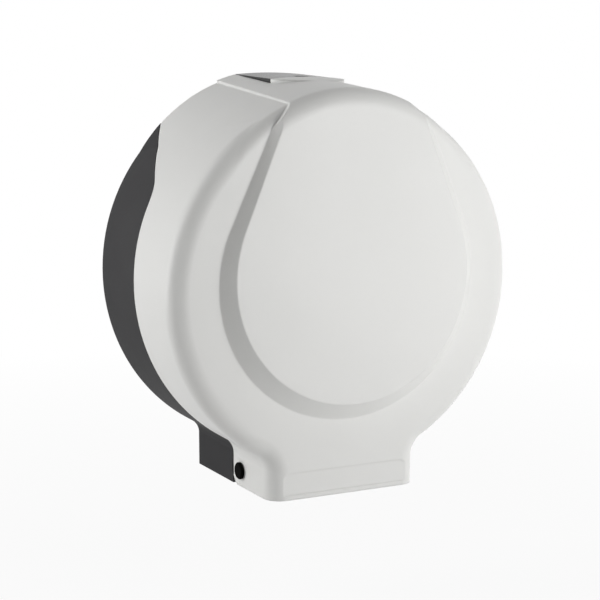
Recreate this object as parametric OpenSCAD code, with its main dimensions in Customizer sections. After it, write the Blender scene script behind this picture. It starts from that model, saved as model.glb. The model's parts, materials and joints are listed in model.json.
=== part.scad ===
// Round wall dispenser for one large roll of toilet paper, as separate pieces.
// Millimetres, Z up. The back lies on the wall plane y = 0 and the front looks
// along -Y, so depth from the wall is -y. The drum's middle on the wall is the
// origin. The white cover swings forward and down about two pins in the neck.

/* [Drum] */
// Diameter of the drum at the wall
drum_d = 274; // [262:1:290]
// Depth of the flat ring round the raised panel, at mid height
drum_depth = 128; // [122:0.5:132]
// Radius of the rounded shoulder between side and front
shoulder_r = 13; // [9:0.5:15]
// Taper of the side walls towards the front, degrees
side_draft = 1.5; // [0.6:0.1:2.2]
// Forward lean of the drum and neck, degrees
front_lean = 2.1; // [0.5:0.1:2.6]
// Height of the middle of the swell over the drum's top
swell_up = 18.3; // [16:0.1:20]
// Radius of that swell at the wall
swell_r = 126.2; // [125.4:0.1:127]
// Taper of the swell towards the front, degrees
swell_draft = 3.8; // [3.4:0.1:4.2]
// Radius of the swell's front edge
swell_edge = 9; // [7:0.5:11]
// Wall thickness of the white cover
cover_t = 2.6; // [2.2:0.1:3.2]
// Wall thickness of the dark base
base_t = 2.6; // [2.2:0.1:3.2]
// Thickness of the base's back plate
back_t = 3; // [2.4:0.2:4]

/* [Neck] */
// Width of the neck at the wall
neck_w = 124; // [112:1:134]
// Drop of the paper outlet below the drum's middle
neck_drop = 154; // [148:1:164]
// Radius of the hollow blend between neck and drum
neck_blend_r = 12; // [8:1:18]

/* [Raised front panel] */
// Depth of the panel's face from the wall
panel_depth = 137; // [134:0.5:140]
// Radius of the panel's round lower part
panel_r = 90.5; // [84:0.5:96]
// Height of that round part's middle
panel_up = 4; // [0:1:8]
// Width of the panel near its top
panel_top_w = 101; // [92:1:108]
// Height at which the top width is measured
panel_top_z = 121; // [116:1:124]

/* [Top band] */
// Height of the band above the drum's middle, at the wall
band_h = 146.7; // [146.2:0.1:147.6]
// Fall of the band towards the front, degrees
band_fall = 6; // [5.6:0.1:6.4]
// Width across the band at its edges
band_w = 90; // [82:1:94]

/* [Seam] */
// Depth of the base's side wall
seam_depth = 61; // [54:1:66]
// Height at which the seam turns back to the wall
seam_knee_z = 63; // [56:1:70]
// Height at which the seam meets the wall
seam_end_z = 107; // [102:1:110]
// Radius of the seam's knee
seam_knee_r = 20; // [10:1:26]
// Open gap along the seam
seam_gap = 0.6; // [0.4:0.1:1]

/* [Hinge] */
// Diameter of the hinge pins
pin_d = 8; // [6:0.5:9]
// Diameter of the pin heads
pin_head_d = 12.4; // [11:0.2:14]
// Height of the pin heads
pin_head_t = 2.4; // [1.6:0.2:3]
// Distance of the pin forward of the seam
pin_forward = 13; // [12:0.5:15]
// Height of the pin above the neck's lower edge
pin_up = 12; // [11.5:0.5:14]
// Radial running clearance of the cover on a pin
pin_clear = 0.08; // [0.05:0.01:0.1]
// Thickness of the base's hinge ears
ear_t = 5; // [4:0.5:6]
// Thickness of the pads inside the cover's cheeks
pad_t = 2; // [1.5:0.5:3]

/* [Roll holder] */
// Diameter of the spindle
spindle_d = 20; // [18:1:24]
// Length of the spindle
spindle_len = 88; // [80:1:92]
// Diameter of the spindle's flange
flange_d = 62; // [56:1:68]
// Radial running clearance of the hub on the spindle
hub_clear = 0.08; // [0.05:0.01:0.1]
// Diameter over the hub's fins
hub_d = 42; // [38:1:44]
// Number of fins round the hub
hub_fins = 6; // [4:1:8]
// Outside diameter of the sleeve that fills a wide core
sleeve_d = 56; // [52:1:60]
// Length of that sleeve
sleeve_len = 60; // [50:1:66]

/* [Lock] */
// Width of the notch in the cover's top
notch_w = 60; // [56:1:64]
// Depth of that notch from the wall
notch_depth = 62; // [58:1:64]
// Gap round the lock housing
lock_gap = 0.8; // [0.5:0.1:1.2]
// Radius of the raised lip in front of the notch, seen from above
lip_r = 31.3; // [30.6:0.1:33]
// Diameter of the lock barrel
barrel_d = 12; // [10:0.5:13]
// Radial running clearance of the barrel
barrel_clear = 0.06; // [0.05:0.01:0.1]
// Reach of the barrel's catch from its axis
catch_len = 12; // [10.5:0.5:13]

/* [Wall fixing] */
// Distance between the screw holes, side to side
hole_pitch_x = 150; // [130:5:160]
// Distance between the screw holes, up and down
hole_pitch_z = 120; // [100:5:130]
// Diameter of the screw holes
hole_d = 5.5; // [4.5:0.5:6.5]

/* [Paper cutter] */
// Width of the toothed blade
blade_w = 104; // [80:2:106]
// Distance between the blade's teeth
tooth_pitch = 4; // [3:0.5:6]
// Height of the blade above its teeth
blade_h = 13; // [11:1:16]

/* [Hidden] */
$fn = 120;
drum_r = drum_d / 2;
floor_z = -neck_drop;
pin_y = -(seam_depth + pin_forward);
pin_z = floor_z + pin_up;
// Slope of the neck's sides and how far they stand in at the pins
cheek_in = -pin_y * tan(side_draft);
cheek_x = neck_w / 2 - cheek_in;
ear_out = cheek_x - cover_t - pad_t - 0.5;
// The blend laps the drum and the neck by this much, so that they join
blend_lap = 0.06;
blend_x = neck_w / 2 + neck_blend_r - blend_lap;
blend_z = -sqrt(pow(drum_r + neck_blend_r - blend_lap, 2) - pow(blend_x, 2));
blend_angle = atan2(-blend_z, -blend_x);
hidden_r = drum_r - cover_t - 1.3;
ear_r = pin_d / 2 + 5.5;
// Direction of the panel's straight sides, measured from Z to their normal
side_normal = atan2(panel_top_w / 2, panel_top_z - panel_up)
    + acos(panel_r / norm([panel_top_w / 2, panel_top_z - panel_up]));
side_lap = 0.06;
// Roll holder stations, as depths from the wall
boss_top = 9;
flange_top = boss_top + 4;
head_sink = 1.2;
flange_screw_r = flange_d / 2 - 9;
washer_top = flange_top + 1.5;
hub_start = washer_top + 0.3;
post_end = flange_top + spindle_len;
cap_start = post_end;
hub_end = post_end - 0.4;
// Sideways place of the blade's two screws
blade_screw_x = blade_w / 2 - 16;
// Lock stations
keeper_z = band_h - 16.2;
keeper_t = 2.6;
barrel_y = 8.5 - notch_depth;
catch_z = keeper_z - 3.9;
catch_t = 3;
catch_w = 6;
seat_z = catch_z - 0.4;
housing_w = notch_w - 2 * lock_gap;
housing_top = band_h - 2.1;
housing_low = keeper_z - 12.5;
lock_screw_z = housing_low - 12;
housing_front = notch_depth - lock_gap;
white = [0.93, 0.93, 0.92];
dark = [0.24, 0.24, 0.25];
black = [0.08, 0.08, 0.08];
steel = [0.72, 0.73, 0.75];
grey = [0.55, 0.56, 0.57];

// Profiles and forms shared by the cover and the base

// Half section of a tapered wall with a rounded front edge. X is the distance
// from the axis and Y is the depth. The wall stands at r on the wall plane and
// run is how far the section reaches back towards the axis.
module rim_section(r, depth, edge, run, taper) {
    cx = r - (edge + (depth - edge) * sin(taper)) / cos(taper);
    polygon([
        [r - run, -14],
        [r + 14 * tan(taper), -14],
        [cx + edge * cos(taper), depth - edge + edge * sin(taper)],
        [cx, depth],
        [r - run, depth]
    ]);
    translate([cx, depth - edge]) circle(r = edge);
}

// Turns a shape drawn round Z with depth upwards so that depth runs along -Y
module facing_front() {
    rotate([90, 0, 0]) children();
}

// Drum, its swell over the top, neck and the two hollow blends as one solid,
// set in by the wall thickness t for the space inside
module body_solid(t) {
    rotate([front_lean, 0, 0]) {
        facing_front() rotate_extrude($fn = 180)
            rim_section(drum_r - t, drum_depth - t, shoulder_r - t,
                drum_r - t, side_draft);
        translate([0, 0, swell_up]) facing_front() rotate_extrude($fn = 180)
            rim_section(swell_r - t, drum_depth - t, swell_edge - t,
                swell_r - t, swell_draft);
        translate([0, 0, floor_z - 12]) linear_extrude(height = neck_drop - 40)
            mirror([0, 1]) for (side = [0, 1]) mirror([side, 0])
                rim_section(neck_w / 2 - t, drum_depth - t, shoulder_r - t,
                    neck_w / 2 - t, side_draft);
        for (side = [0, 1]) mirror([side, 0, 0])
            translate([blend_x, 0, blend_z]) facing_front()
                rotate_extrude(angle = 180 - blend_angle, start = blend_angle)
                    translate([drum_r + neck_blend_r, 0]) mirror([1, 0])
                        rim_section(drum_r - t, drum_depth - t,
                            shoulder_r - t, 24, side_draft);
    }
}

// Room in front of the wall and above the neck's lower edge
module room(z0) {
    translate([-200, -200, z0]) cube([400, 200, 400]);
}

// Everything behind the seam, as seen from the side
module behind_seam() {
    rise = seam_end_z - seam_knee_z;
    beta = atan2(rise, seam_depth);
    reach = seam_knee_r / tan((90 + beta) / 2);
    knee = [-seam_depth + seam_knee_r + 0.03, seam_knee_z - reach - 0.03];
    rotate([90, 0, 90]) linear_extrude(height = 400, center = true) {
        polygon([
            [-seam_depth, -220],
            [-seam_depth, seam_knee_z - reach],
            knee,
            [-seam_depth + reach * cos(beta), seam_knee_z + reach * sin(beta)],
            [20 * cos(beta), seam_end_z + 20 * sin(beta)],
            [30, -220]
        ]);
        translate(knee) circle(r = seam_knee_r);
    }
}

// Raised panel with its sloping edge: a cone below and a flat-sided wedge
// above, both widening by one millimetre for each millimetre towards the wall.
// The wedge's sides stand in by side_lap, so that they cross the cone.
module panel_body(t) {
    back = 16;
    lift = t * sqrt(2);
    n = side_normal;
    r0 = panel_r - side_lap - lift;
    r1 = r0 + back;
    top = 150;
    s0 = (r0 - (top - panel_up) * cos(n)) / sin(n);
    s1 = (r1 - (top - panel_up) * cos(n)) / sin(n);
    low0 = [r0 * sin(n), panel_up + r0 * cos(n)];
    low1 = [r1 * sin(n), panel_up + r1 * cos(n)];
    translate([0, 0, panel_up]) facing_front()
        translate([0, 0, panel_depth - back])
            cylinder(r1 = r1 + side_lap, r2 = r0 + side_lap, h = back, $fn = 180);
    polyhedron(
        points = [
            [-low0[0], -panel_depth, low0[1]], [low0[0], -panel_depth, low0[1]],
            [s0, -panel_depth, top], [-s0, -panel_depth, top],
            [-low1[0], back - panel_depth, low1[1]],
            [low1[0], back - panel_depth, low1[1]],
            [s1, back - panel_depth, top], [-s1, back - panel_depth, top]
        ],
        faces = [
            [0, 3, 2, 1], [4, 5, 6, 7], [0, 1, 5, 4],
            [1, 2, 6, 5], [2, 3, 7, 6], [3, 0, 4, 7]
        ]
    );
}

// Half width of the panel's face at height z
function face_half(z) = (panel_r - side_lap - (z - panel_up) * cos(side_normal))
    / sin(side_normal);

// Outline of the band and the panel's top as seen from the front. The panel's
// sides bend inwards to the tips, from which the band's edges run to the wall.
module band_outline(t) {
    low = 98;
    bend = panel_top_z - 4.3;
    tip = panel_top_z + 1.2;
    x0 = face_half(low) - t;
    x1 = face_half(bend) + 0.1 - t;
    x2 = band_w / 2 + 2.1 - t;
    x3 = band_w / 2 - t;
    polygon([
        [-x0, low], [x0, low], [x1, bend], [x2, tip], [x3, 136], [x3, 160],
        [-x3, 160], [-x3, 136], [-x2, tip], [-x1, bend]
    ]);
}

// Space outside the line in which the panel's sloping edge narrows to the tip
module beyond_tip(t) {
    x0 = face_half(108) + 4.6 - t;
    x2 = band_w / 2 + 2.1 - t;
    step = panel_top_z + 1.2 - 108;
    both_sides() rotate([90, 0, 0]) translate([0, 0, 90])
        linear_extrude(height = 60) polygon([
            [x0 + (x0 - x2), 108 - step], [x0 + (x0 - x2) + 60, 108 - step],
            [x2 + 80, 180], [x2 - 2 * (x0 - x2), 108 + 3 * step]
        ]);
}

// Panel and band together, turned to one rounded form so that the band runs
// over the front edge into the panel
module strap_solid(t) {
    intersection() {
        union() {
            translate([0, 0, swell_up]) facing_front() rotate_extrude($fn = 180)
                rim_section(band_h - swell_up - t, panel_depth - t,
                    shoulder_r - t, band_h - swell_up - t, band_fall);
            translate([-120, t - panel_depth, -120])
                cube([240, panel_depth, 150]);
        }
        union() {
            difference() {
                panel_body(t);
                beyond_tip(t);
            }
            rotate([90, 0, 0]) translate([0, 0, -14])
                linear_extrude(height = panel_depth + 14) band_outline(t);
        }
    }
}

// A round bar along X at the hinge, used for heads, bores and clearances
module hinge_bar(d, x0, x1) {
    translate([x0, pin_y, pin_z]) rotate([0, 90, 0])
        cylinder(d = d, h = x1 - x0, $fn = 64);
}

// Same on the other side
module both_sides() {
    children();
    mirror([1, 0, 0]) children();
}

// Wall base

module wall_base() color(dark) {
    difference() {
        union() {
            // Side wall and back plate that show beside the cover
            difference() {
                intersection() {
                    body_solid(0);
                    behind_seam();
                    room(floor_z);
                }
                difference() {
                    body_solid(base_t);
                    translate([-200, -back_t, -200]) cube([400, 50, 400]);
                }
            }
            // Round plate hidden under the top of the cover
            facing_front() cylinder(r = hidden_r, h = back_t, $fn = 180);
            translate([0, 0, swell_up]) facing_front()
                cylinder(r = swell_r - drum_r + hidden_r, h = back_t, $fn = 180);
            intersection() {
                facing_front() difference() {
                    cylinder(r = hidden_r, h = 13, $fn = 180);
                    translate([0, 0, -1])
                        cylinder(r = hidden_r - base_t, h = 15, $fn = 180);
                }
                translate([-200, -20, 84]) cube([400, 20, 100]);
            }
            base_ribs();
            base_ears();
            // Boss under the spindle's flange
            facing_front() cylinder(d = flange_d + 4, h = boss_top);
            // Bosses round the wall screws
            for (x = [-1, 1], z = [-1, 1])
                translate([x * hole_pitch_x / 2, 0, z * hole_pitch_z / 2])
                    facing_front() cylinder(d = 20, h = 6, $fn = 64);
            // Seat under the lock housing
            translate([-housing_w / 2 + 2, -7, housing_low - 22])
                cube([housing_w - 4, 7, 20]);
        }
        base_holes();
    }
}

// Radial and ring ribs on the back plate
module base_ribs() {
    for (a = [22.5:45:337.5])
        rotate([0, a, 0]) translate([-1, -8, 0]) cube([2, 8, hidden_r - 8]);
    facing_front() difference() {
        cylinder(d = 182, h = 6);
        translate([0, 0, -1]) cylinder(d = 178, h = 8);
    }
}

// Two ears that carry the hinge pins. Each runs up the back plate as a web.
module base_ears() {
    both_sides() translate([ear_out - ear_t, 0, 0]) rotate([90, 0, 90])
        linear_extrude(height = ear_t) {
            translate([pin_y, pin_z]) circle(r = ear_r, $fn = 64);
            polygon([
                [-1, pin_z - ear_r + 0.3], [pin_y, pin_z - ear_r + 0.3],
                [pin_y, pin_z + ear_r - 0.3], [-30, -98], [-24, -80], [-1, -76]
            ]);
        }
}

// Screw holes, pin bores and the relief that lets the cover's corner pass
module base_holes() {
    for (x = [-1, 1], z = [-1, 1])
        translate([x * hole_pitch_x / 2, 0, z * hole_pitch_z / 2])
            facing_front() translate([0, 0, -1]) {
                cylinder(d = hole_d, h = 9, $fn = 48);
                translate([0, 0, 4.4]) cylinder(d = 11, h = 5, $fn = 48);
            }
    for (a = [90, 210, 330])
        facing_front() rotate([0, 0, a]) translate([flange_screw_r, 0, -1])
            cylinder(d = 3.4, h = 12, $fn = 32);
    hinge_bar(pin_d, -ear_out - 1, ear_out + 1);
    both_sides() hinge_bar(2 * corner_r() + 0.8, ear_out + 1, neck_w);
    both_sides() translate([housing_w / 4, 0, lock_screw_z]) facing_front()
        translate([0, 0, -1]) cylinder(d = 2.6, h = 9, $fn = 32);
    // Bay in which the lock housing stands
    translate([-housing_w / 2 - 0.2, -16, housing_low - 0.2])
        cube([housing_w + 0.4, 20, 40]);
    // Middle of the flange boss is open to the wall
    facing_front() translate([0, 0, -1]) cylinder(d = 16, h = 12);
}

// Radius about the pin within which the cover's rear lower corner is kept
function corner_r() = pin_forward + 1;

// Roll holder

module spindle() color(grey) facing_front() difference() {
    union() {
        translate([0, 0, boss_top]) cylinder(d = flange_d, h = 4);
        translate([0, 0, boss_top])
            cylinder(d = spindle_d, h = post_end - boss_top);
        translate([0, 0, flange_top]) cylinder(d = spindle_d + 6, h = 1);
        for (a = [30:60:330]) rotate([0, 0, a])
            translate([spindle_d / 2 - 1, -1, flange_top - 1])
                cube([3.5, 2, 2]);
    }
    translate([0, 0, boss_top - 1])
        cylinder(d = spindle_d - 7, h = spindle_len - 16);
    translate([0, 0, post_end - 22]) cylinder(d = 4.2, h = 30, $fn = 32);
    for (a = [90, 210, 330])
        rotate([0, 0, a]) translate([flange_screw_r, 0, boss_top - 1])
            {
                cylinder(d = 4.4, h = 8, $fn = 32);
                translate([0, 0, flange_top - head_sink - boss_top + 1])
                    cylinder(d = 7.8, h = 8, $fn = 48);
            }
}

module flange_screw(a) {
    facing_front() rotate([0, 0, a]) translate([flange_screw_r, 0, 0])
        pan_screw(3.4, 7, flange_top - 10 - head_sink, 10, 2.4);
}

// Screw with a domed head and cross recess. The shank starts at depth z and
// the head sits on z + len.
module pan_screw(d, head_d, z, len, head_h) {
    ball = (pow(head_d / 2, 2) + pow(head_h, 2)) / (2 * head_h);
    translate([0, 0, z]) difference() {
        union() {
            translate([0, 0, 0.8]) cylinder(d = d, h = len - 0.8, $fn = 32);
            cylinder(d1 = d - 1.4, d2 = d, h = 0.8, $fn = 32);
            intersection() {
                translate([0, 0, len + head_h - ball]) sphere(r = ball, $fn = 48);
                translate([0, 0, len]) cylinder(d = head_d, h = head_h, $fn = 48);
            }
        }
        for (a = [0, 90]) rotate([0, 0, a])
            translate([-head_d * 0.28, -0.45, len + head_h * 0.35])
                cube([head_d * 0.56, 0.9, head_h]);
    }
}

module spindle_screw_1() color(steel) flange_screw(90);

module spindle_screw_2() color(steel) flange_screw(210);

module spindle_screw_3() color(steel) flange_screw(330);

module brake_washer() color([0.35, 0.36, 0.38]) facing_front()
    translate([0, 0, flange_top + 1]) difference() {
        cylinder(d = spindle_d + 12, h = washer_top - flange_top - 1);
        translate([0, 0, -1]) cylinder(d = spindle_d, h = 4);
    }

module core_hub() color(white) facing_front() difference() {
    union() {
        translate([0, 0, hub_start]) cylinder(d = hub_d + 22, h = 3);
        translate([0, 0, hub_start]) cylinder(d = spindle_d + 6, h = hub_end - hub_start);
        difference() {
            translate([0, 0, hub_start]) cylinder(d = hub_d, h = hub_end - hub_start - 4);
            for (i = [0:hub_fins - 1]) rotate([0, 0, i * 360 / hub_fins])
                translate([0, 0, hub_start + 3]) fin_gap();
        }
        translate([0, 0, hub_end - 7]) cylinder(d1 = hub_d, d2 = spindle_d + 8, h = 7);
    }
    translate([0, 0, hub_start - 1])
        cylinder(r = spindle_d / 2 + hub_clear, h = spindle_len + 4);
    for (i = [0:hub_fins - 1]) rotate([0, 0, (i + 0.5) * 360 / hub_fins])
        translate([hub_d / 2 + 5, 0, hub_start - 1]) cylinder(d = 6, h = 5, $fn = 48);
}

// Space between two of the hub's fins
module fin_gap() {
    half = 180 / hub_fins;
    rotate_extrude(angle = 2 * half - 7, start = 3.5)
        translate([spindle_d / 2 + 3, 0]) square([hub_d / 2, hub_end]);
}

module core_sleeve() color(grey) facing_front()
    translate([0, 0, hub_start + 3]) difference() {
        union() {
            cylinder(d = sleeve_d, h = 2.4);
            cylinder(d = hub_d + 4.4, h = sleeve_len);
            for (i = [0:7]) rotate([0, 0, i * 45])
                translate([hub_d / 2, -1, 0]) difference() {
                    cube([(sleeve_d - hub_d) / 2, 2, sleeve_len]);
                    translate([(sleeve_d - hub_d) / 2, -1, sleeve_len - 8])
                        rotate([0, -30, 0]) cube([10, 4, 20]);
                }
        }
        translate([0, 0, -1]) cylinder(d = hub_d, h = sleeve_len + 2);
    }

module hub_cap() color(grey) facing_front() difference() {
    union() {
        translate([0, 0, cap_start]) cylinder(d = spindle_d + 12, h = 2.4);
        translate([0, 0, cap_start + 2.4])
            cylinder(d1 = spindle_d + 12, d2 = spindle_d + 6, h = 2);
    }
    translate([0, 0, cap_start - 1]) cylinder(d = 5, h = 8, $fn = 32);
    translate([0, 0, cap_start + 2]) cylinder(d = 11, h = 6, $fn = 48);
}

module hub_cap_screw() color(steel) facing_front()
    pan_screw(4.2, 9, cap_start - 14, 16, 2.6);

// Hinge pins, pushed through the cover's cheeks into the base's ears

module hinge_pin() {
    seat = cheek_x + 0.35;
    difference() {
        union() {
            hinge_bar(pin_d, ear_out - ear_t - 1, seat + 0.1);
            hinge_bar(pin_head_d, seat, seat + pin_head_t - 0.8);
            translate([seat + pin_head_t - 0.8, pin_y, pin_z]) rotate([0, 90, 0])
                cylinder(d1 = pin_head_d, d2 = pin_head_d - 1.6, h = 0.8, $fn = 64);
        }
        // Split end that lets the pin snap in
        translate([ear_out - ear_t - 2, pin_y - 0.6, pin_z - pin_d])
            cube([ear_t - 0.5, 1.2, 2 * pin_d]);
    }
}

module hinge_pin_right() color(black) hinge_pin();

module hinge_pin_left() color(black) mirror([1, 0, 0]) hinge_pin();

// Lock on top of the base

module lock_housing() color(black) difference() {
    union() {
        // Body that fills the notch, with a flatter top than the band
        intersection() {
            translate([0, 0, housing_top - 300]) facing_front()
                cylinder(r1 = 300, r2 = 300 - housing_front * tan(3.6),
                    h = housing_front, $fn = 180);
            translate([-housing_w / 2, -housing_front, housing_low])
                cube([housing_w, housing_front, 40]);
        }
        // Foot that is screwed to the base
        translate([-housing_w / 2, -11, housing_low - 21]) cube([housing_w, 4, 24]);
        for (x = [4 - housing_w / 2, housing_w / 2 - 8])
            translate([x, -30, lock_screw_z]) cube([4, 20, 18]);
        // Block that carries the foot of the barrel
        barrel_block();
    }
    // Slot in which the cover's keeper comes home
    translate([-17, barrel_y - 33.5, keeper_z - 1.2])
        cube([34, 46, keeper_t + 3.2]);
    // Room round the block
    difference() {
        translate([-housing_w / 2 + 3, -housing_front - 1, housing_low - 5.5])
            cube([housing_w - 6, housing_front - 10, keeper_z - housing_low + 4.4]);
        barrel_block();
    }
    translate([0, barrel_y, 0]) {
        translate([0, 0, keeper_z])
            cylinder(r = barrel_d / 2 + barrel_clear, h = 30, $fn = 96);
        translate([0, 0, housing_low])
            cylinder(r = 2.5 + barrel_clear, h = 10, $fn = 64);
    }
    both_sides() translate([housing_w / 4, 0, lock_screw_z]) facing_front()
        translate([0, 0, 6]) cylinder(d = 3.6, h = 8, $fn = 32);
}

// Block and arm under the keeper
module barrel_block() {
    translate([-9, barrel_y - 6, housing_low - 6])
        cube([18, 14, seat_z - housing_low + 6]);
    translate([-9, barrel_y, housing_low - 6]) cube([18, -barrel_y - 8, 5]);
}

module lock_screw(side) {
    translate([side * housing_w / 4, 0, lock_screw_z]) facing_front()
        pan_screw(2.6, 5.6, 1.2, 9.8, 2);
}

module lock_screw_left() color(steel) lock_screw(-1);

module lock_screw_right() color(steel) lock_screw(1);

// Quarter-turn barrel with a key slot above and a catch below. At rest the
// catch points forward and the cover is free. Turned to the right, it stops
// the keeper.
module lock_barrel() color(black) translate([0, barrel_y, 0]) difference() {
    union() {
        translate([0, 0, catch_z]) cylinder(d = barrel_d, h = 12.9, $fn = 96);
        translate([0, 0, housing_low + 1]) cylinder(r = 2.5, h = 10, $fn = 64);
        intersection() {
            translate([-catch_w / 2, -catch_len, catch_z])
                cube([catch_w, catch_len, catch_t]);
            cylinder(r = catch_len, h = 200, $fn = 96);
        }
    }
    translate([-4, -0.8, catch_z + 8.5]) cube([8, 1.6, 10]);
    translate([0, 0, catch_z + 9.9]) cylinder(r = 2, h = 10, $fn = 48);
}

// Cover

module cover() color(white) {
    difference() {
        union() {
            intersection() {
                union() {
                    body_solid(0);
                    strap_solid(0);
                    lock_lip();
                }
                room(floor_z);
            }
        }
        cover_space();
        translate([0, -seam_gap, seam_gap * 0.6]) behind_seam();
        translate([-200, -0.8, -200]) cube([400, 30, 400]);
        // Notch round the lock housing
        translate([-notch_w / 2, -notch_depth, housing_low - 18])
            cube([notch_w, notch_depth + 10, 80]);
        both_sides() hinge_bar(pin_d + 2 * pin_clear, ear_out - 1, neck_w);
        // Room for the pins' heads where the blend comes down to them
        both_sides() hinge_bar(pin_head_d + 1.6, cheek_x + 0.3, neck_w);
        both_sides() cover_corner_cut();
        grip_recess();
    }
    cover_pads();
    cover_ribs();
    blade_bosses();
}

// The space inside the cover
module cover_space(gap = 0) {
    body_solid(cover_t + gap);
    strap_solid(cover_t + gap);
}

// Low lip in front of the notch, round as seen from above, with a top that is
// flatter than the band and dies into it at the front
module lock_lip() {
    rim_z = band_h - notch_depth * tan(band_fall) + 0.9;
    r = 257;
    intersection() {
        translate([0, 0, rim_z - r]) facing_front() translate([0, 0, notch_depth])
            cylinder(r1 = r, r2 = r - 30 * 0.15, h = 30, $fn = 180);
        translate([0, 10 - notch_depth, band_h - 20.7])
            cylinder(r = lip_r, h = 20);
    }
}

// Rear lower corner of each cheek, rounded about the pin
module cover_corner_cut() {
    difference() {
        translate([ear_out + 1, pin_y, floor_z - 5])
            cube([30, 30, pin_up + 5]);
        hinge_bar(2 * corner_r(), ear_out, neck_w + 10);
    }
}

// Shallow field low on the neck's front
module grip_recess() {
    rotate([front_lean, 0, 0]) translate([0, -drum_depth + 0.5, 0])
        rotate([90, 0, 0]) linear_extrude(height = 5) {
            translate([-51, floor_z + 8]) square([102, 8]);
            translate([-43, floor_z + 8]) square([86, 16]);
            for (x = [-43, 43]) translate([x, floor_z + 16]) circle(r = 8, $fn = 48);
        }
}

// Pads that thicken the cheeks at the pins
module cover_pads() {
    both_sides() difference() {
        intersection() {
            hinge_bar(21, ear_out + 0.5, cheek_x - cover_t / 2);
            translate([0, -200, floor_z + 0.5]) cube([100, 200 - seam_depth - seam_gap - 0.4, 60]);
        }
        hinge_bar(pin_d + 2 * pin_clear, ear_out, neck_w);
        cover_corner_cut();
    }
}

// Plate fixed under the skin in front of the notch. It has a way in for the
// barrel and a stop that the turned catch holds.
module lock_keeper() color(white) difference() {
    intersection() {
        union() {
            translate([-14, -notch_depth - 12, keeper_z])
                cube([28, 27, keeper_t]);
            for (x = [-14, -1.2, 11.6])
                translate([x, -notch_depth - 12, keeper_z])
                    cube([2.4, 11.4, 20]);
            translate([-14, -notch_depth - 3, keeper_z])
                cube([28, 2.4, 20]);
            translate([0, barrel_y + catch_w / 2 + 0.5, catch_z - 0.4])
                cube([14, 2.4, keeper_z - catch_z + 1]);
        }
        cover_space(0.05);
    }
    translate([-barrel_d / 2 - 0.9, -notch_depth, catch_z - 2])
        cube([barrel_d + 1.8, 40, 12]);
    translate([0, barrel_y, catch_z - 2])
        cylinder(r = barrel_d / 2 + 0.9, h = 12, $fn = 96);
}

// Stiffening ribs inside the drum's front and along the cheeks
module cover_ribs() {
    intersection() {
        cover_space();
        union() {
            for (x = [-44, 44]) translate([x - 0.9, -drum_depth - 4, floor_z + 22])
                cube([1.8, 8, 40]);
        }
    }
}

// Two posts behind the neck's front for the blade's screws
module blade_bosses() {
    rotate([front_lean, 0, 0]) for (x = [-blade_screw_x, blade_screw_x])
        translate([x, -drum_depth + cover_t / 2, floor_z + 20]) rotate([-90, 0, 0])
            difference() {
                cylinder(d = 8, h = 5.5 + cover_t / 2, $fn = 48);
                translate([0, 0, cover_t / 2 + 0.5])
                    cylinder(d = 2.2, h = 10, $fn = 32);
            }
}

// Toothed steel strip behind the neck's lower front edge

module tear_blade() color(steel) rotate([front_lean, 0, 0])
    translate([0, -drum_depth + cover_t + 5.5, floor_z + 8]) rotate([-90, 0, 0])
        linear_extrude(height = 1) mirror([0, 1]) blade_outline();

module blade_outline() {
    teeth = floor(blade_w / tooth_pitch);
    half = teeth * tooth_pitch / 2;
    difference() {
        polygon(concat(
            [[-half, blade_h + 3], [-half, 0]],
            [for (i = [0:2 * teeth - 2])
                [-half + (i + 1) * tooth_pitch / 2, i % 2 == 0 ? -3 : 0]],
            [[half, 0], [half, blade_h + 3]]
        ));
        for (x = [-blade_screw_x, blade_screw_x])
            translate([x, 12]) circle(d = 3, $fn = 32);
    }
}

module blade_screw(x) {
    rotate([front_lean, 0, 0])
        translate([x, -drum_depth + cover_t + 6.5, floor_z + 20])
            rotate([-90, 0, 0]) pan_screw(2.2, 5, -5.5, 5.5, 1.8);
}

module blade_screw_left() color(steel) blade_screw(-blade_screw_x);

module blade_screw_right() color(steel) blade_screw(blade_screw_x);

wall_base();
spindle();
spindle_screw_1();
spindle_screw_2();
spindle_screw_3();
brake_washer();
core_hub();
core_sleeve();
hub_cap();
hub_cap_screw();
hinge_pin_left();
hinge_pin_right();
lock_housing();
lock_screw_left();
lock_screw_right();
lock_barrel();
cover();
lock_keeper();
tear_blade();
blade_screw_left();
blade_screw_right();
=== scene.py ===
"""Jumbo toilet roll dispenser: finishes, moulded details, light and camera.

Metres, Z up. The wall is the plane y = 0 and the dispenser faces -Y. The frame
gives every rigid piece its shape and place.
"""
import json
import math

import bpy
from mathutils import Matrix, Vector


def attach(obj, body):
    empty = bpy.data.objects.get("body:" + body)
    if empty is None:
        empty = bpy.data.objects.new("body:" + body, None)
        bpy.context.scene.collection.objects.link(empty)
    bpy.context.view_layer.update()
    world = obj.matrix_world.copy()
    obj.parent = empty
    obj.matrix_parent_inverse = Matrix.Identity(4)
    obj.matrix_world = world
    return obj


MM = 0.001
# Depths from the wall and height of the flat inner faces with ejector marks
PANEL_INNER_DEPTH = 134.4 * MM
PANEL_MIDDLE_Z = 4 * MM
BACK_PLATE_DEPTH = 3 * MM
EJECTOR_PIN_RADIUS = 3.6 * MM
EJECTOR_RIDGE = 0.16 * MM
# The floor lies below the opened cover
FLOOR_DROP = 0.26
FLOOR_HALF_WIDTH = 30
PLASTIC_IOR = 1.49
EVEN_LIGHT = 0.04
MIDDLE = Vector((0, -0.06, 0))

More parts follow.
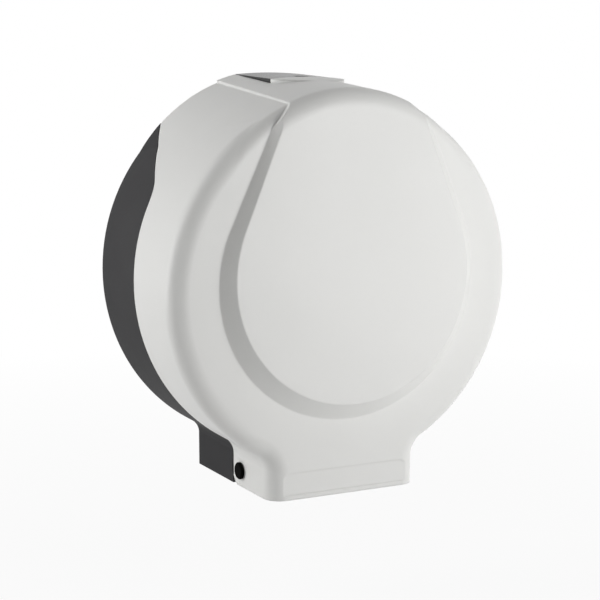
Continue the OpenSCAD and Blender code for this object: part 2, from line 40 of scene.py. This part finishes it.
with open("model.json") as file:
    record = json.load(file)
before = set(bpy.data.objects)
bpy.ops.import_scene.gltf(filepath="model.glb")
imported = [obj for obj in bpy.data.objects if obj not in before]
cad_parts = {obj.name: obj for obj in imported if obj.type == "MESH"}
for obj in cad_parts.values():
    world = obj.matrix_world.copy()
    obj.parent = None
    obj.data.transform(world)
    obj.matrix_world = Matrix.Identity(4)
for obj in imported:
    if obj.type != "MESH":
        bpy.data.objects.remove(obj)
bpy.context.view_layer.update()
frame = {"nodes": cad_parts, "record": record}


# Shader building

class Channel:
    """One output socket of a finish. Sums and products on it add Math nodes."""

    def __init__(self, finish, socket):
        self.finish = finish
        self.socket = socket

    def math(self, operation, other):
        made = self.finish.node("ShaderNodeMath", {"operation": operation}, [self, other])
        return made["Value"]

    def __add__(self, other):
        return self.math("ADD", other)

    __radd__ = __add__

    def __mul__(self, other):
        return self.math("MULTIPLY", other)

    __rmul__ = __mul__


class Made:
    """A node whose outputs are reached by name as channels."""

    def __init__(self, finish, node):
        self.finish = finish
        self.node = node

    def __getitem__(self, name):
        return Channel(self.finish, self.node.outputs[name])


class Finish:
    """A node material for one of the dispenser's finishes."""

    def __init__(self, name):
        self.material = bpy.data.materials.new(name)
        self.material.use_nodes = True
        self.tree = self.material.node_tree
        self.tree.nodes.clear()
        self.surface = self.node("ShaderNodeBsdfPrincipled")
        self.result = self.node("ShaderNodeOutputMaterial")
        self.join(self.surface["BSDF"], self.result.node.inputs["Surface"])
        self.place = self.node("ShaderNodeTexCoord")["Object"]

    def join(self, value, socket):
        if isinstance(value, Channel):
            self.tree.links.new(value.socket, socket)
        else:
            socket.default_value = value

    def node(self, kind, settings=None, values=None):
        """Adds a node, sets it, then gives its inputs by order or by name."""
        made = self.tree.nodes.new(kind)
        for key, value in (settings or {}).items():
            setattr(made, key, value)
        if isinstance(values, dict):
            for key, value in values.items():
                self.join(value, made.inputs[key])
        else:
            for index, value in enumerate(values or []):
                self.join(value, made.inputs[index])
        return Made(self, made)

    def set(self, **values):
        """Sets the surface's sockets. Names use _ for a space."""
        for key, value in values.items():
            self.join(value, self.surface.node.inputs[key.replace("_", " ")])

    def noise(self, scale, detail=2.0, rough=0.5, stretch=None):
        where = self.place
        if stretch:
            where = self.node(
                "ShaderNodeMapping", None, {"Vector": where, "Scale": stretch}
            )["Vector"]
        return self.node(
            "ShaderNodeTexNoise", None,
            {"Vector": where, "Scale": scale, "Detail": detail, "Roughness": rough},
        )["Fac"]

    def shift(self, value, low, high, to_low, to_high):
        """Carries a value from one range to another, clamped."""
        return self.node(
            "ShaderNodeMapRange", {"clamp": True},
            {"Value": value, "From Min": low, "From Max": high,
             "To Min": to_low, "To Max": to_high},
        )["Result"]

    def tint(self, share, first, second):
        """Mixes two colours by a share that changes over the surface."""
        made = self.node("ShaderNodeMix", {"data_type": "RGBA"})
        self.join(share, made.node.inputs["Factor"])
        self.join((*first, 1), made.node.inputs[6])
        self.join((*second, 1), made.node.inputs[7])
        return Channel(self, made.node.outputs[2])

    def relief(self, height, depth, strength=1.0, edge=0.0):
        """Bump by a height, over edges that look rounded by the radius edge."""
        values = {"Height": height, "Distance": depth, "Strength": strength}
        if edge:
            values["Normal"] = self.node(
                "ShaderNodeBevel", {"samples": 6}, {"Radius": edge}
            )["Normal"]
        return self.node("ShaderNodeBump", None, values)["Normal"]


# Finishes

def moulded_plastic(name, colour, deeper, rough, grain_size, grain_depth, edge, gloss=0.5):
    """Moulded plastic with spark-eroded grain, faint flow clouds and soft edges."""
    finish = Finish(name)
    clouds = finish.noise(9, 3, 0.55)
    specks = finish.noise(420, 2, 0.6)
    grain = finish.noise(1 / grain_size, 3, 0.65)
    share = finish.shift(clouds * 0.8 + specks * 0.2, 0.35, 0.65, 0, 1)
    finish.set(
        Base_Color=finish.tint(share, colour, deeper),
        Roughness=finish.shift(clouds + grain * 0.35, 0.4, 0.9, rough - 0.03, rough + 0.05),
        Normal=finish.relief(grain, grain_depth, 0.6, edge),
    )
    finish.set(IOR=PLASTIC_IOR, Specular_IOR_Level=gloss)
    return finish


def brushed_steel(name, colour, stretch):
    """Sheet or turned steel with fine drawn lines."""
    finish = Finish(name)
    lines = finish.noise(1, 4, 0.7, stretch)
    blotches = finish.noise(60, 2)
    shade = finish.tint(lines, [c * 0.82 for c in colour], colour)
    finish.set(
        Base_Color=shade,
        Roughness=finish.shift(lines + blotches * 0.3, 0.3, 1.0, 0.24, 0.4),
        Normal=finish.relief(lines, 0.03 * MM, 0.5, 0.15 * MM),
    )
    finish.set(Metallic=1.0)
    return finish


def felt(name, colour):
    """Pressed felt: matted fibres over soft lumps."""
    finish = Finish(name)
    fibres = finish.noise(2600, 4, 0.8, (1.0, 1.0, 0.35))
    lumps = finish.noise(520, 3)
    height = fibres * 0.6 + lumps * 0.7
    finish.set(
        Base_Color=finish.tint(fibres, [c * 0.55 for c in colour], [c * 1.5 for c in colour]),
        Roughness=finish.shift(lumps, 0.3, 0.7, 0.86, 1.0),
        Normal=finish.relief(height, 0.25 * MM, 0.9),
    )
    finish.set(Sheen_Weight=0.3)
    return finish


FINISHES = {
    "cover_plastic": moulded_plastic(
        "white satin plastic", (0.80, 0.799, 0.78), (0.786, 0.786, 0.767),
        0.40, 0.35 * MM, 0.012 * MM, 1.8 * MM),
    "dark_plastic": moulded_plastic(
        "anthracite grained plastic", (0.030, 0.0295, 0.031), (0.025, 0.0245, 0.026),
        0.6, 0.45 * MM, 0.05 * MM, 0.5 * MM, 0.12),
    "black_plastic": moulded_plastic(
        "black plastic", (0.004, 0.004, 0.0035), (0.003, 0.003, 0.003),
        0.28, 0.4 * MM, 0.012 * MM, 0.4 * MM, 0.2),
    "white_plastic": moulded_plastic(
        "white inner plastic", (0.72, 0.72, 0.70), (0.69, 0.69, 0.67),
        0.5, 0.4 * MM, 0.03 * MM, 0.4 * MM),
    "grey_plastic": moulded_plastic(
        "grey inner plastic", (0.25, 0.255, 0.26), (0.22, 0.225, 0.23),
        0.5, 0.4 * MM, 0.03 * MM, 0.4 * MM),
    "felt": felt("pressed felt", (0.10, 0.10, 0.11)),
    "steel": brushed_steel("brushed steel", (0.60, 0.60, 0.61), (60, 900, 2400)),
}


PIN_FINISH = moulded_plastic(
    "dull black pin plastic", (0.004, 0.004, 0.0035), (0.003, 0.003, 0.003),
    0.7, 0.4 * MM, 0.03 * MM, 0.4 * MM, 0.02)


def dress_rigid_pieces():
    """Gives every piece of the frame the finish of its slot. The pins are duller."""
    for entry in frame["record"]["subparts"]:
        piece = frame["nodes"][entry["node"]]
        is_pin = entry["node"].startswith("hinge_pin")
        finish = PIN_FINISH if is_pin else FINISHES[entry["material_slot"]]
        piece.data.materials.clear()
        piece.data.materials.append(finish.material)


# Moulded details that repeat

class Growth:
    """A Geometry Nodes tree for a detail, with named sizes as its inputs."""

    def __init__(self, name, sizes):
        self.tree = bpy.data.node_groups.new(name, "GeometryNodeTree")
        self.sizes = sizes
        face = self.tree.interface
        face.new_socket("Geometry", in_out="INPUT", socket_type="NodeSocketGeometry")
        face.new_socket("Geometry", in_out="OUTPUT", socket_type="NodeSocketGeometry")
        self.keys = {}
        for label, value in sizes.items():
            kind = "NodeSocketInt" if isinstance(value, int) else "NodeSocketFloat"
            socket = face.new_socket(label, in_out="INPUT", socket_type=kind)
            self.keys[label] = socket.identifier
        self.given = self.tree.nodes.new("NodeGroupInput")

    def size(self, label):
        return self.given.outputs[label]

    def node(self, kind, settings=None, **values):
        """Adds a node and gives its inputs by name, with _ for a space."""
        made = self.tree.nodes.new(kind)
        for key, value in (settings or {}).items():
            setattr(made, key, value)
        for key, value in values.items():
            socket = made.inputs[key.replace("_", " ")]
            if isinstance(value, bpy.types.NodeSocket):
                self.tree.links.new(value, socket)
            else:
                socket.default_value = value
        return made

    def make(self, name, shape, finish):
        """Ends the tree, runs it and returns the plain mesh object."""
        real = self.node("GeometryNodeRealizeInstances", Geometry=shape)
        dressed = self.node("GeometryNodeSetMaterial", Geometry=real.outputs[0])
        dressed.inputs["Material"].default_value = finish.material
        result = self.tree.nodes.new("NodeGroupOutput")
        self.tree.links.new(dressed.outputs[0], result.inputs[0])
        carrier = bpy.data.objects.new(name, bpy.data.meshes.new(name))
        growth = carrier.modifiers.new("growth", "NODES")
        growth.node_group = self.tree
        for label, value in self.sizes.items():
            growth[self.keys[label]] = value
        bpy.context.collection.objects.link(carrier)
        ready = carrier.evaluated_get(bpy.context.evaluated_depsgraph_get())
        mesh = bpy.data.meshes.new_from_object(ready)
        carrier.modifiers.remove(growth)
        carrier.data = mesh
        return carrier


def ejector_marks(name, body, slot, depth, middle_z, rings):
    """Faint rings that the mould's ejector pins leave on a flat inner face."""
    growth = Growth(name, {
        "Pin radius": EJECTOR_PIN_RADIUS, "Ridge": EJECTOR_RIDGE,
        **{f"Ring {i} radius": radius for i, (radius, _, _) in enumerate(rings)},
        **{f"Ring {i} count": count for i, (_, count, _) in enumerate(rings)},
    })
    path = growth.node(
        "GeometryNodeCurvePrimitiveCircle", Resolution=28, Radius=growth.size("Pin radius"))
    ridge = growth.node(
        "GeometryNodeCurvePrimitiveCircle", Resolution=8, Radius=growth.size("Ridge"))
    mark = growth.node(
        "GeometryNodeCurveToMesh", Curve=path.outputs[0], Profile_Curve=ridge.outputs[0])
    joined = growth.node("GeometryNodeJoinGeometry")
    for i, (_, _, turn) in enumerate(rings):
        places = growth.node(
            "GeometryNodeMeshCircle", Vertices=growth.size(f"Ring {i} count"),
            Radius=growth.size(f"Ring {i} radius"))
        turned = growth.node(
            "GeometryNodeTransform", Geometry=places.outputs[0],
            Rotation=(0, 0, math.radians(turn)))
        growth.tree.links.new(turned.outputs[0], joined.inputs[0])
    marks = growth.node(
        "GeometryNodeInstanceOnPoints", Points=joined.outputs[0], Instance=mark.outputs[0])
    stood = growth.node(
        "GeometryNodeTransform", Geometry=marks.outputs[0],
        Translation=(0, -depth, middle_z), Rotation=(math.radians(90), 0, 0))
    piece = growth.make(name, stood.outputs[0], FINISHES[slot])
    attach(piece, body)


# Floor, light and camera

def sees_background(tree):
    """One where the ray comes from the camera, a gloss or a clear surface."""
    path = tree.nodes.new("ShaderNodeLightPath")
    total = path.outputs["Is Camera Ray"]
    for name in ("Is Glossy Ray", "Is Transmission Ray"):
        most = tree.nodes.new("ShaderNodeMath")
        most.operation = "MAXIMUM"
        tree.links.new(total, most.inputs[0])
        tree.links.new(path.outputs[name], most.inputs[1])
        total = most.outputs[0]
    return total


def lay_floor(drop, shade_share=0.10, near=0.15, far=1.1):
    """Wide pale floor that shows white and keeps a faint shadow near the middle."""
    finish = Finish("pale floor")
    finish.set(Base_Color=(0.9, 0.9, 0.9, 1), Roughness=0.9)
    white = finish.node("ShaderNodeEmission", None, {"Color": (1, 1, 1, 1)})
    seen = Channel(finish, sees_background(finish.tree))
    away = finish.node(
        "ShaderNodeVectorMath", {"operation": "LENGTH"}, [finish.place]
    )["Value"]
    share = finish.shift(away, near, far, 1 - shade_share, 1)
    mixed = finish.node("ShaderNodeMixShader", None, [seen * share])
    finish.join(finish.surface["BSDF"], mixed.node.inputs[1])
    finish.join(white["Emission"], mixed.node.inputs[2])
    finish.join(mixed["Shader"], finish.result.node.inputs["Surface"])
    half = FLOOR_HALF_WIDTH
    mesh = bpy.data.meshes.new("floor")
    corners = [(-half, -half), (half, -half), (half, half), (-half, half)]
    mesh.from_pydata([(x, y, -drop) for x, y in corners], [], [(0, 1, 2, 3)])
    mesh.materials.append(finish.material)
    floor = bpy.data.objects.new("floor", mesh)
    bpy.context.collection.objects.link(floor)


def light_world(colour, strength):
    """Even light from all round. Seen directly, the world is plain white."""
    world = bpy.data.worlds.new("studio")
    bpy.context.scene.world = world
    world.use_nodes = True
    tree = world.node_tree
    tree.nodes.clear()
    even = tree.nodes.new("ShaderNodeBackground")
    even.inputs["Color"].default_value = (*colour, 1)
    even.inputs["Strength"].default_value = strength
    white = tree.nodes.new("ShaderNodeBackground")
    white.inputs["Color"].default_value = (1, 1, 1, 1)
    mixed = tree.nodes.new("ShaderNodeMixShader")
    tree.links.new(sees_background(tree), mixed.inputs[0])
    tree.links.new(even.outputs[0], mixed.inputs[1])
    tree.links.new(white.outputs[0], mixed.inputs[2])
    output = tree.nodes.new("ShaderNodeOutputWorld")
    tree.links.new(mixed.outputs[0], output.inputs["Surface"])


# Softboxes: name, turn from the front and height angle in degrees, distance, side, watts
SOFTBOXES = [
    ("left softbox", -115, 0, 1.6, 1.0, 11.8),
    ("high left softbox", -110, 38, 1.6, 1.0, 8.8),
    ("left front softbox", -55, 5, 1.8, 0.9, 1.2),
    ("right front softbox", 32, 6, 1.1, 0.7, 7.3),
    ("right softbox", 80, 25, 1.2, 0.7, 2.0),
]


def hang_softboxes():
    """Square softboxes round the dispenser, each turned towards its middle."""
    for name, turn, lift, distance, side, watts in SOFTBOXES:
        turn, lift = math.radians(turn), math.radians(lift)
        away = Vector((
            math.sin(turn) * math.cos(lift),
            -math.cos(turn) * math.cos(lift),
            math.sin(lift),
        ))
        lamp = bpy.data.lights.new(name, "AREA")
        lamp.size = side
        lamp.energy = watts
        holder = bpy.data.objects.new(name, lamp)
        bpy.context.collection.objects.link(holder)
        holder.location = MIDDLE + away * distance
        holder.rotation_mode = "QUATERNION"
        holder.rotation_quaternion = away.to_track_quat("Z", "Y")


def set_camera():
    """Camera at the photograph's place: a little left of the front and above."""
    turn, down = math.radians(26.68), math.radians(8.34)
    focal_px, frame_px, sensor = 1441.3, 600, 36.0
    # The dispenser's middle shows at this place in the frame
    aim_x, aim_y = 306.07, 269.66
    distance = 1.0651
    ahead = Vector((
        math.sin(turn) * math.cos(down),
        math.cos(turn) * math.cos(down),
        -math.sin(down),
    ))
    right = Vector((math.cos(turn), -math.sin(turn), 0))
    up = right.cross(ahead)
    across = (aim_x - frame_px / 2) / focal_px
    above = (frame_px / 2 - aim_y) / focal_px
    lens = bpy.data.cameras.new("camera")
    lens.sensor_width = sensor
    lens.lens = focal_px / frame_px * sensor
    lens.clip_start, lens.clip_end = 0.05, 100
    camera = bpy.data.objects.new("camera", lens)
    bpy.context.collection.objects.link(camera)
    place = MIDDLE - distance * (ahead + across * right + above * up)
    turned = Matrix((right, up, -ahead)).transposed().to_4x4()
    camera.matrix_world = Matrix.Translation(place) @ turned
    bpy.context.scene.camera = camera


dress_rigid_pieces()
ejector_marks("cover_ejector_marks", "cover", "cover_plastic", PANEL_INNER_DEPTH,
              PANEL_MIDDLE_Z, [(32 * MM, 6, 0), (70 * MM, 12, 15)])
ejector_marks("base_ejector_marks", "base", "dark_plastic", BACK_PLATE_DEPTH,
              0, [(60 * MM, 8, 0), (112 * MM, 4, 45)])
lay_floor(FLOOR_DROP)
light_world((1, 1, 1), EVEN_LIGHT)
hang_softboxes()
set_camera()
bpy.context.scene.view_settings.view_transform = "Standard"
